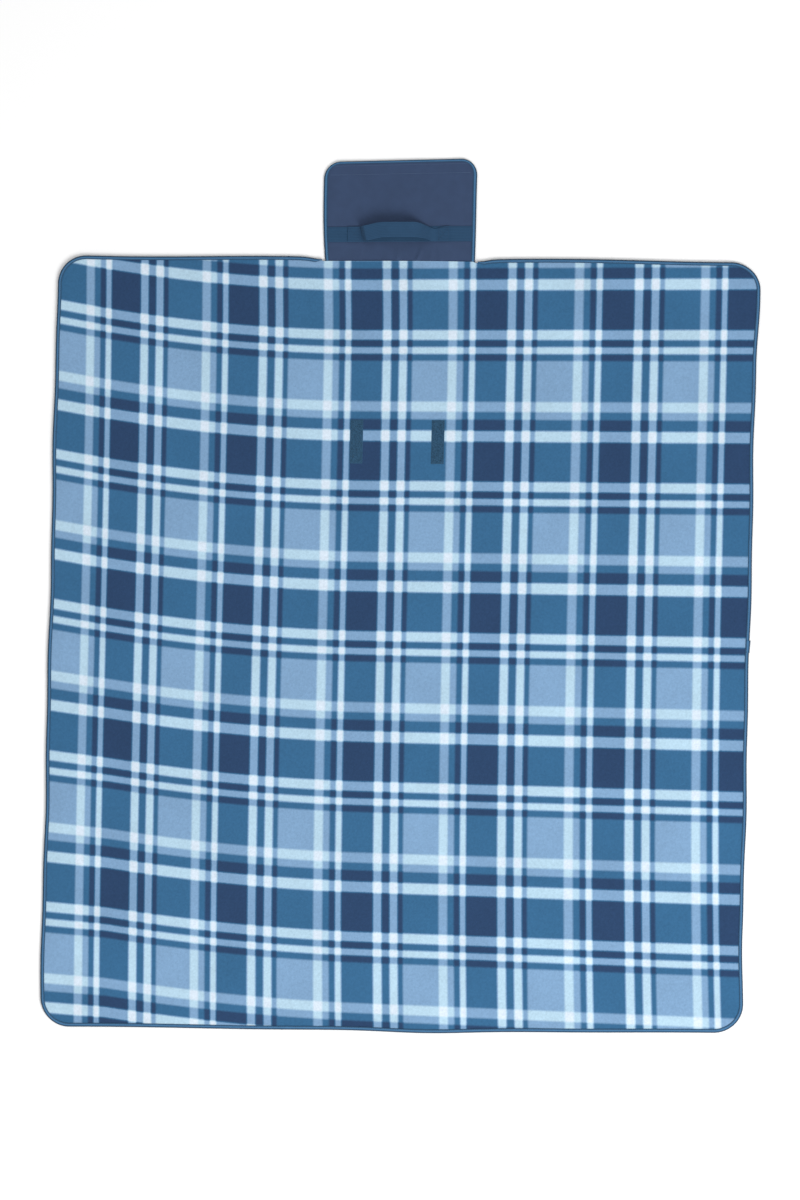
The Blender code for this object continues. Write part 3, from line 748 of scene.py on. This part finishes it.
def lay_flap(x, y):
    """The flap lies turned a little anticlockwise, spreads towards its free edge, and is creased near the seam."""
    up = y - SEAM_Y
    share = np.clip(up / FLAP_LENGTH, -0.05, 1.0)
    off = x - FLAP_X
    edge_wave = wave(0.0008, 23.0, up, 0.5) * np.sign(off) * (off / FLAP_HALF) ** 4
    moved_x = FLAP_X + FLAP_SHIFT + off * (0.980 + 0.054 * share - 0.021 * share ** 2) + edge_wave
    moved_x = moved_x - 0.0070 * share + 0.0060 * share ** 2
    moved_y = y - 0.0010 + 0.0020 * share + off * (0.016 + 0.024 * share)
    near_seam = smooth(1 - up / CREASE_LENGTH) * smooth((up + 0.004) / 0.012)
    creases = sum(depth * hump(off, crease_x + lean * up, CREASE_WIDTH) for crease_x, depth, lean in SEAM_CREASES)
    swell = 0.0007 * (1 + np.sin(31 * off + 14 * y) * np.sin(37 * y - 9 * off))
    mound = 0.0022 * hump(off, 0.01, 0.055) * hump(up, 0.105, 0.035)
    lift = creases * near_seam + (swell + mound) * smooth((FLAP_HALF - np.abs(off)) / 0.03)
    return moved_x, moved_y, lift


def flap_grid(low, high):
    """Flat places on the flap between two heights, narrowing round the outer corners."""
    y = np.linspace(low, high, max(int((high - low) / FLAP_CELL), 2))[:, None]
    radius = FLAP_CORNER - FLAP_INSET
    into = np.maximum(radius - (FLAP_TOP - FLAP_INSET - y), 0.0)
    half = FLAP_HALF - FLAP_INSET - radius + np.sqrt(np.maximum(radius ** 2 - into ** 2, 0.0))
    share = np.linspace(-1.0, 1.0, int(2 * FLAP_HALF / FLAP_CELL))[None, :]
    return FLAP_X + share * half, np.repeat(y, share.shape[1], axis=1)


def flap_bend(part):
    """Bodies and reach of the bend that part of the flap lies across: the seam for the lower, the crease above."""
    lower = part == "lower"
    bodies = ("panel_1", "flap_spine") if lower else ("flap_spine", "flap_tongue")
    middle, reach = (SEAM_Y, SEAM_REACH) if lower else (FLAP_CREASE, FLAP_FOLD_REACH)
    return bodies, {"start": (0, middle - reach, 0), "end": (0, middle + reach, 0)}


FLAP_UNDERLAP = 0.006
BACK_LIFT = 0.6
FLAP_PARTS = {"lower": (SEAM_Y - FLAP_UNDERLAP, BAND_Y, "spine"), "upper": (BAND_Y, FLAP_TOP - FLAP_INSET, "tongue")}
for part, (low, high, node) in FLAP_PARTS.items():
    x, y = flap_grid(low, high)
    laid_x, laid_y, lift = lay_flap(x, y)
    for layer in ("back", "front"):
        under, over = (corner.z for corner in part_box(f"flap_spine_{layer}"))
        raised = lift if layer == "front" else BACK_LIFT * lift
        bottom = np.stack([laid_x, laid_y, raised + under], -1)
        top = np.stack([laid_x, laid_y, raised + over], -1)
        piece = closed_sheet(f"flap_{layer}_{part}", top, bottom, FLAP_CLOTH, np.stack([x, y], -1))
        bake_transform(piece)
        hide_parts(f"flap_{node}_{layer}")


# ---------------------------------------------------------------- flap tape
# The same tape binds the flap's three free edges, in one run from seam to seam.

FLAP_TAPE_SECTION = TAPE_SECTION * np.array([1.0, 0.50])
FLAP_TOP_STEP = 0.003
flap_tape_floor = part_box("flap_tape_left")[0].z


def flap_path():
    """The flap's edge from the seam up one side, over the top and down to the seam: x, y, inward x, inward y."""
    points = []
    straight = FLAP_TOP - FLAP_CORNER
    stops = [SEAM_Y - SEAM_REACH, BAND_Y, FLAP_CREASE - FLAP_FOLD_REACH, FLAP_CREASE + FLAP_FOLD_REACH, straight]
    for low, high in zip(stops, stops[1:]):
        count = max(int((high - low) / FLAP_CELL), 1)
        points += [(FLAP_X + FLAP_HALF, y, -1.0, 0.0) for y in np.linspace(low, high, count, endpoint=False)]
    turn = int(FLAP_CORNER * math.pi / 2 / FLAP_CELL)
    half_top = FLAP_HALF - FLAP_CORNER
    for step in range(turn + 1):
        angle = math.pi / 2 * step / turn
        out_x, out_y = math.cos(angle), math.sin(angle)
        points.append((FLAP_X + half_top + FLAP_CORNER * out_x, straight + FLAP_CORNER * out_y, -out_x, -out_y))
    across = int(half_top / FLAP_TOP_STEP)
    points += [(FLAP_X + half_top * (1 - step / across), FLAP_TOP, 0.0, -1.0) for step in range(1, across + 1)]
    mirrored = [(2 * FLAP_X - x, y, -inward_x, inward_y) for x, y, inward_x, inward_y in points[-2::-1]]
    return np.array(points + mirrored)


TOP_NARROWING, NARROWING_FROM, NARROWING_REACH = 0.30, 0.030, 0.025
path = flap_path()
narrow = 1 - TOP_NARROWING * smooth((path[:, 1] - FLAP_TOP + NARROWING_FROM) / NARROWING_REACH)
rings, uv = tape_rings(path, FLAP_TAPE_SECTION, flap_tape_floor, lay_flap, narrow)
row = stitch_line(path, STITCH_INSET * narrow, lay_flap, flap_tape_floor + FLAP_TAPE_SECTION[:, 1].max())
at_band = np.flatnonzero(np.abs(path[:, 1] - BAND_Y) < 1e-6)
runs = [("right", 0, at_band[0], "lower"), ("tongue", at_band[0], at_band[-1], "upper"),
        ("left", at_band[-1], len(path) - 1, "lower")]
for run_name, first, last, part in runs:
    tape_run(f"flap_tape_run_{run_name}", f"flap_tape_stitches_{run_name}", rings[first:last + 1],
             uv[first:last + 1], row[first:last + 1], *flap_bend(part), [f"flap_tape_{run_name}"])


# ---------------------------------------------------------------- hook tape
# A strip of hook tape lies under the flap's free edge. The two lines of thread that hold it show on the front.

HOOKS = build_woven("hook_tape", (30, 44, 66), 0.0016, 0.2, 0.1, 0.45, sheen=0.0, strength=0.6, specular=0.4)
HOOK_TREE = build_tuft_tree("hook_nap", math.radians(235), seed=9)
HOOK_DENSITY, HOOK_SIZE, HOOK_THICKNESS = 420000.0, 0.0011, 0.00011
HOOK_GROUND = 0.0004
HOOK_MARGIN = 0.001

low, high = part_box("hook_tape")
x, y = np.meshgrid(np.linspace(low.x, high.x, 70), np.linspace(low.y, high.y, 10))
laid_x, laid_y, lift = lay_flap(x, y)
ground_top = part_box("flap_tongue_back")[0].z - 0.0001
strip_top = np.stack([laid_x, laid_y, BACK_LIFT * lift + ground_top], -1)
strip_bottom = np.stack([laid_x, laid_y, BACK_LIFT * lift + ground_top - HOOK_GROUND], -1)
strip = closed_sheet("hook_strip", strip_top, strip_bottom, HOOKS, np.stack([x, y], -1))
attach(strip, "flap_tongue")
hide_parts("hook_tape")

# The corners are taken the other way round, so that the hooks stand downwards
face = laid_points(lay_flap, *rectangle(low, high, HOOK_MARGIN))[[0, 3, 2, 1]]
face[:, 2] = ground_top - HOOK_GROUND
hooks = grown("hook_threads", quad_mesh("hook_seed", face), HOOK_TREE, HOOKS, density=HOOK_DENSITY, size=HOOK_SIZE,
              thickness=HOOK_THICKNESS)
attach(hooks, "flap_tongue")

SEAM_OVERRUN = 0.018
line_x = np.linspace(low.x - SEAM_OVERRUN, high.x + SEAM_OVERRUN, 120)
seam_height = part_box("flap_spine_front")[1].z + 0.00005
seam_lines = [laid_points(lay_flap, line_x, np.full_like(line_x, seam_y), seam_height)
              for seam_y in (low.y + 0.0015, high.y - 0.0012)]
seam = stitch_row("hook_stitches", seam_lines, PALE_THREAD, pitch=0.0036, length=0.0031, thickness=0.0006)
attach(seam, "flap_tongue")


# ---------------------------------------------------------------- webbing band and handle
# A band of ribbed webbing crosses the flap, sewn along both edges. A loop of the same webbing stands up from it as
# the handle: its ends are boxed and crossed down with thread, and it rises sharply at the left and slopes at the
# right, leaning towards the flap's free edge.
RIB_PITCH, CORD_PITCH = 0.0022, 0.0030


def build_webbing():
    """Ribbed webbing: cords along it and finer ribs across, with a painted highlight on the cords' crowns and painted
    shade between.
    """
    made, tree, shader = new_finish("webbing", 0.78, sheen=0.06, specular=0.2, sheen_tint=(0.7, 0.85, 1.0))
    place = add_node(tree, "ShaderNodeUVMap", uv_map="cloth").outputs[0]
    parts = add_node(tree, "ShaderNodeSeparateXYZ", {0: place}).outputs
    rib = maths(tree, "SINE", maths(tree, "MULTIPLY", parts[0], math.tau / RIB_PITCH))
    cord = maths(tree, "ABSOLUTE", maths(tree, "SINE", maths(tree, "MULTIPLY", parts[1], math.pi / CORD_PITCH)))
    height = maths(tree, "ADD", maths(tree, "MULTIPLY", rib, 0.3), cord)
    weave = add_group(tree, WEAVE, Pitch=0.0010, Contrast=0.08, Slub=0.22)
    # Painted highlight on the cords' raised crowns and painted shade in the grooves between them
    cord_painted_shading = maths(tree, "ADD", maths(tree, "MULTIPLY", cord, 0.16), 0.90)
    cover(tree, shader, linear(36, 68, 98), maths(tree, "MULTIPLY", weave["Shade"], cord_painted_shading), height, 0.7, 0.0004)
    return made


WEBBING = build_webbing()
WEBBING_HALF = (band_high.y - band_low.y) / 2
WEBBING_THICKNESS = band_high.z - band_low.z


def strap(name, center, across, half, thickness, along):
    """Flat webbing: center is the line under its middle, across the direction of its width at each point."""
    tangent = np.gradient(center, axis=0)
    tangent /= np.linalg.norm(tangent, axis=1)[:, None]
    normal = np.cross(tangent, across)
    normal /= np.linalg.norm(normal, axis=1)[:, None]
    share = np.linspace(-1.0, 1.0, 17)
    thin = 1 - 0.55 * smooth((np.abs(share) - 0.86) / 0.14)
    half = np.broadcast_to(half, len(center))
    bottom = center[None] + across[None] * (share[:, None] * half[None, :])[:, :, None]
    middle = bottom + normal[None] * thickness / 2
    top = middle + normal[None] * (thickness / 2 * thin)[:, None, None]
    bottom = middle - normal[None] * (thickness / 2 * thin)[:, None, None]
    uv = np.stack(np.meshgrid(along, share * half.max()), -1)
    return closed_sheet(name, top, bottom, WEBBING, uv)


line_x = np.linspace(band_low.x, band_high.x, 150)
band_center = laid_points(lay_flap, line_x, np.full_like(line_x, BAND_Y), band_low.z)
ahead = band_center - laid_points(lay_flap, line_x, np.full_like(line_x, BAND_Y - 0.01))
ahead[:, 2] = 0
band_across = ahead / np.linalg.norm(ahead, axis=1)[:, None]
band = strap("webbing_band_strap", band_center, band_across, WEBBING_HALF, WEBBING_THICKNESS, line_x)
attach(band, "flap_spine")
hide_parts("webbing_band")

edge_lines = [band_center + band_across * way * (WEBBING_HALF - 0.0018) + (0, 0, WEBBING_THICKNESS - 0.0001)
              for way in (-1, 1)]
seam = stitch_row("band_stitches", edge_lines, THREAD, pitch=0.0034, length=0.0025, thickness=0.0005)
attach(seam, "flap_spine")

tabs = {side_name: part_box(f"handle_tab_{side_name}") for side_name in ("left", "right")}
tab_floor = tabs["left"][0].z
TAB_LENGTH = 0.025
HANDLE_LEFT = tabs["left"][0].x + TAB_LENGTH
HANDLE_RIGHT = tabs["right"][1].x - TAB_LENGTH
HANDLE_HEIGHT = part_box("handle_loop")[1].z - tab_floor - WEBBING_THICKNESS
RISE_LEFT, RISE_RIGHT = 0.010, 0.054
SLOW_RISE, SLOW_SHARE = 0.060, 0.38
HANDLE_LEAN = 0.0064
LEAN_LEFT, LEAN_RIGHT = 0.044, 0.046


def handle_line(x):
    """The middle of the loop's underside over the flap, from tab to tab, and its height over the tabs."""
    from_left, from_right = x - HANDLE_LEFT, HANDLE_RIGHT - x
    climb = (1 - SLOW_SHARE) * smooth(from_left / RISE_LEFT) + SLOW_SHARE * smooth(from_left / SLOW_RISE)
    height = HANDLE_HEIGHT * climb * smooth(from_right / RISE_RIGHT)
    center = laid_points(lay_flap, x, np.full_like(x, BAND_Y), tab_floor + height)
    center[:, 1] += HANDLE_LEAN * smooth(from_left / LEAN_LEFT) * smooth(from_right / LEAN_RIGHT)
    return center, height


# The strap slants and tilts as it rises, and is pinched where it comes down at the right
SLANT, SLANT_FROM, SLANT_REACH = -0.22, 0.060, 0.050
TILT, TILT_DROP = 0.10, 0.45
PINCH, PINCH_SHIFT = 0.17, 0.0026
BEND_LEFT, BEND_RIGHT = 0.010, -0.040
handle_middle = (HANDLE_LEFT + HANDLE_RIGHT) / 2
halves = [("left", tabs["left"][0].x, handle_middle, HANDLE_LEFT, BEND_LEFT, ["handle_tab_left", "handle_loop"]),
          ("right", handle_middle, tabs["right"][1].x, HANDLE_RIGHT, BEND_RIGHT, ["handle_tab_right"])]
for side_name, x_start, x_end, foot, reach, nodes in halves:
    x = np.linspace(x_start, x_end, 110)
    center, height = handle_line(x)
    lifted = smooth(height / 0.006)
    slant = SLANT * smooth((HANDLE_LEFT + SLANT_FROM - x) / SLANT_REACH)
    tilt = TILT - TILT_DROP * hump(x, HANDLE_RIGHT - 0.022, 0.016)
    across = np.stack([slant * lifted, np.ones_like(x), tilt * lifted], -1)
    across /= np.linalg.norm(across, axis=1)[:, None]
    pinch = hump(x, HANDLE_RIGHT - 0.005, 0.013)
    center[:, 1] -= PINCH_SHIFT * pinch
    width = WEBBING_HALF * (1 - PINCH * pinch)
    half = strap(f"handle_strap_{side_name}", center, across, width, WEBBING_THICKNESS, x)
    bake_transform(half)
    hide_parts(*nodes)

    box_x, box_y = rectangle(*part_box(f"handle_stitch_{side_name}"), 0.0)
    lines = [laid_points(lay_flap, box_x[order], box_y[order], tab_floor + WEBBING_THICKNESS)
             for order in ([0, 1, 2, 3, 0], [0, 2], [1, 3])]
    seam = stitch_row(f"handle_stitches_{side_name}", lines, THREAD, pitch=0.0028, length=0.0023, thickness=0.0006)
    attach(seam, "flap_spine")
    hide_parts(f"handle_stitch_{side_name}")


# ---------------------------------------------------------------- studio
# A plain pale floor, an even sky and one large soft light from the near side.

SCALE_HEIGHT = 2.3304
LENS = 100.0
CAMERA_TURN = math.radians(0.93)
FLOOR_HALF, FLOOR_Z = 9, -0.0006

floor_mesh = quad_mesh("floor", FLOOR_HALF * np.array([(-1, -1, 0), (1, -1, 0), (1, 1, 0), (-1, 1, 0)])
                       + (0, 0, FLOOR_Z))
floor = placed_object("floor", floor_mesh)
floor_finish, _, floor_shader = new_finish("pale_floor", 0.9, specular=0.1)
floor_shader.inputs["Base Color"].default_value = (0.97, 0.97, 0.97, 1)
floor_mesh.materials.append(floor_finish)

world = bpy.data.worlds.new("studio")
world.use_nodes = True
feed(world.node_tree, world.node_tree.nodes["Background"], {"Color": (1, 1, 1, 1), "Strength": 0.75})
bpy.context.scene.world = world

lamp = bpy.data.lights.new("key_light", "AREA")
lamp.shape = "DISK"
lamp.size = 2.8
lamp.energy = 180
key_light = placed_object("key_light", lamp)
key_light.location = (2.4, -2.7, 3.9)
key_light.rotation_mode = "QUATERNION"
key_light.rotation_quaternion = (-key_light.location).to_track_quat("-Z", "Y")

camera = placed_object("camera", bpy.data.cameras.new("camera"))
camera.data.lens = LENS
camera.data.clip_end = 100
distance = SCALE_HEIGHT / 2 / (camera.data.sensor_width / 2 / LENS)
camera.location = (0.0011, -0.0078, distance + 0.006)
camera.rotation_euler = (0, 0, CAMERA_TURN)
bpy.context.scene.camera = camera
bpy.context.scene.view_settings.view_transform = "Standard"
